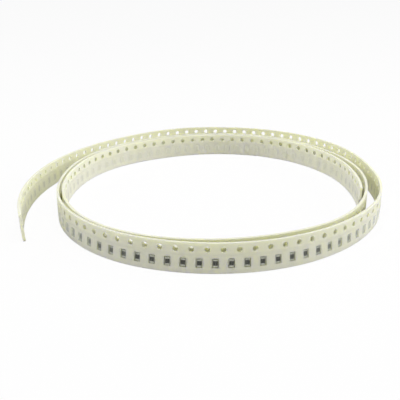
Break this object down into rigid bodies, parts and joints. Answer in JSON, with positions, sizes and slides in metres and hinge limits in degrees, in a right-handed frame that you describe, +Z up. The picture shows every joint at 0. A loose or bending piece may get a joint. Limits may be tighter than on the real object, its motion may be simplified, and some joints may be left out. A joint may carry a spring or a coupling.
{
  "type": "cut strip of carrier tape with chip resistors",
  "caption": "Loose ring of punched paper carrier tape standing on edge, with sprocket holes along one side and film-covered pockets that each hold a surface-mount chip resistor.",
  "frame": {"origin": "centre of the ring's bounding box, on the surface that the strip stands on", "axes": "+Z up across the strip's width, towards the sprocket holes; the loose tail is on the -X side and its end points towards -Y"},
  "size_m": [0.1112, 0.111, 0.008],
  "materials": {
    "card": "matt pressed card, off-white",
    "cover_film": "thin clear polyester, heat sealed along both edges",
    "backing_film": "thin milky film, satin",
    "chip_ceramic": "white alumina, matt",
    "chip_metal": "tin plate, satin",
    "chip_glass": "dark glass coat, semi-gloss"
  },
  "bodies": {
    "root": {"carrier_strip": "card", "cover_film": "cover_film", "backing_film": "backing_film", "chip_bodies_1": "chip_ceramic", "chip_bodies_2": "chip_ceramic", "chip_bodies_3": "chip_ceramic", "chip_bodies_4": "chip_ceramic", "chip_bodies_5": "chip_ceramic", "chip_bodies_6": "chip_ceramic", "chip_bodies_7": "chip_ceramic", "chip_end_caps_1": "chip_metal", "chip_end_caps_2": "chip_metal", "chip_end_caps_3": "chip_metal", "chip_end_caps_4": "chip_metal", "chip_end_caps_5": "chip_metal", "chip_end_caps_6": "chip_metal", "chip_end_caps_7": "chip_metal", "chip_glass_coats_1": "chip_glass", "chip_glass_coats_2": "chip_glass", "chip_glass_coats_3": "chip_glass", "chip_glass_coats_4": "chip_glass", "chip_glass_coats_5": "chip_glass", "chip_glass_coats_6": "chip_glass", "chip_glass_coats_7": "chip_glass"}
  },
  "joints": []
}
